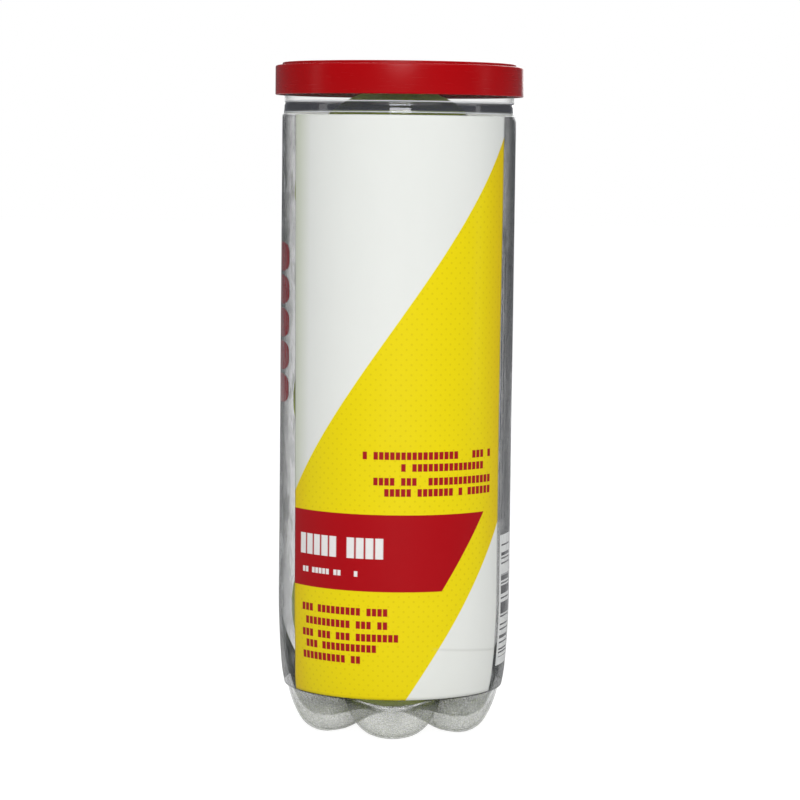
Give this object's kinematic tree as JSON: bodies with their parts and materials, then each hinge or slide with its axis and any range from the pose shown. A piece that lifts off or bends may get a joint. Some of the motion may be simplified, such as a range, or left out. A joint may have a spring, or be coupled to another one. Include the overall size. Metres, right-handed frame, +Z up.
{
  "type": "tennis ball can",
  "caption": "Clear plastic can on a petal base with a film label, a seamed peel-off metal end, a push-on plastic lid and felt balls stacked inside.",
  "frame": {"origin": "centre of the base, on the surface the can stands on", "axes": "+Z up along the can's axis, -Y towards the printed panel of the label"},
  "size_m": [0.078, 0.078, 0.2099],
  "materials": {
    "clear_bottle": "clear moulded plastic, gloss",
    "label_film": "printed film, gloss",
    "end_metal": "lacquered, satin",
    "tab_metal": "bright",
    "compound": "matte",
    "cap_red": "soft gloss",
    "core_rubber": "matte",
    "felt": "brushed felt",
    "seam_glue": "matte"
  },
  "bodies": {
    "can": {"can_body": "clear_bottle", "end_ring": "end_metal", "sealing_compound": "compound", "label": "label_film"},
    "ball_low": {"ball_low_core_lower": "core_rubber", "ball_low_core_upper": "core_rubber", "ball_low_felt_a": "felt", "ball_low_felt_b": "felt", "ball_low_seam": "seam_glue"},
    "ball_mid": {"ball_mid_core_lower": "core_rubber", "ball_mid_core_upper": "core_rubber", "ball_mid_felt_a": "felt", "ball_mid_felt_b": "felt", "ball_mid_seam": "seam_glue"},
    "ball_top": {"ball_top_core_lower": "core_rubber", "ball_top_core_upper": "core_rubber", "ball_top_felt_a": "felt", "ball_top_felt_b": "felt", "ball_top_seam": "seam_glue"},
    "tear_panel": {"tear_panel": "end_metal", "rivet": "end_metal", "tab_tongue": "end_metal"},
    "pull_tab": {"pull_tab": "tab_metal"},
    "overcap": {"overcap": "cap_red"}
  },
  "joints": [
    {"name": "ball_low_out", "type": "slide", "parent": "can", "child": "ball_low", "axis": [0, 0, 1], "range_m": [0, 0.205]},
    {"name": "ball_mid_out", "type": "slide", "parent": "ball_low", "child": "ball_mid", "axis": [0, 0, 1], "range_m": [0, 0.14]},
    {"name": "ball_top_out", "type": "slide", "parent": "ball_mid", "child": "ball_top", "axis": [0, 0, 1], "range_m": [0, 0.075]},
    {"name": "end_off", "type": "slide", "parent": "ball_top", "child": "tear_panel", "axis": [0, 0, 1], "range_m": [0, 0.04]},
    {"name": "lid_off", "type": "slide", "parent": "tear_panel", "child": "overcap", "axis": [0, 0, 1], "range_m": [0, 0.06]},
    {"name": "tab_lift", "type": "hinge", "parent": "tear_panel", "child": "pull_tab", "pos_m": [0.0318, 0, 0.20355], "axis": [0, 1, 0], "range_deg": [0, 85]}
  ],
  "couplings": [
    {"joint": "tab_lift", "follows": "lid_off", "rad_per_m": 24.7}
  ]
}
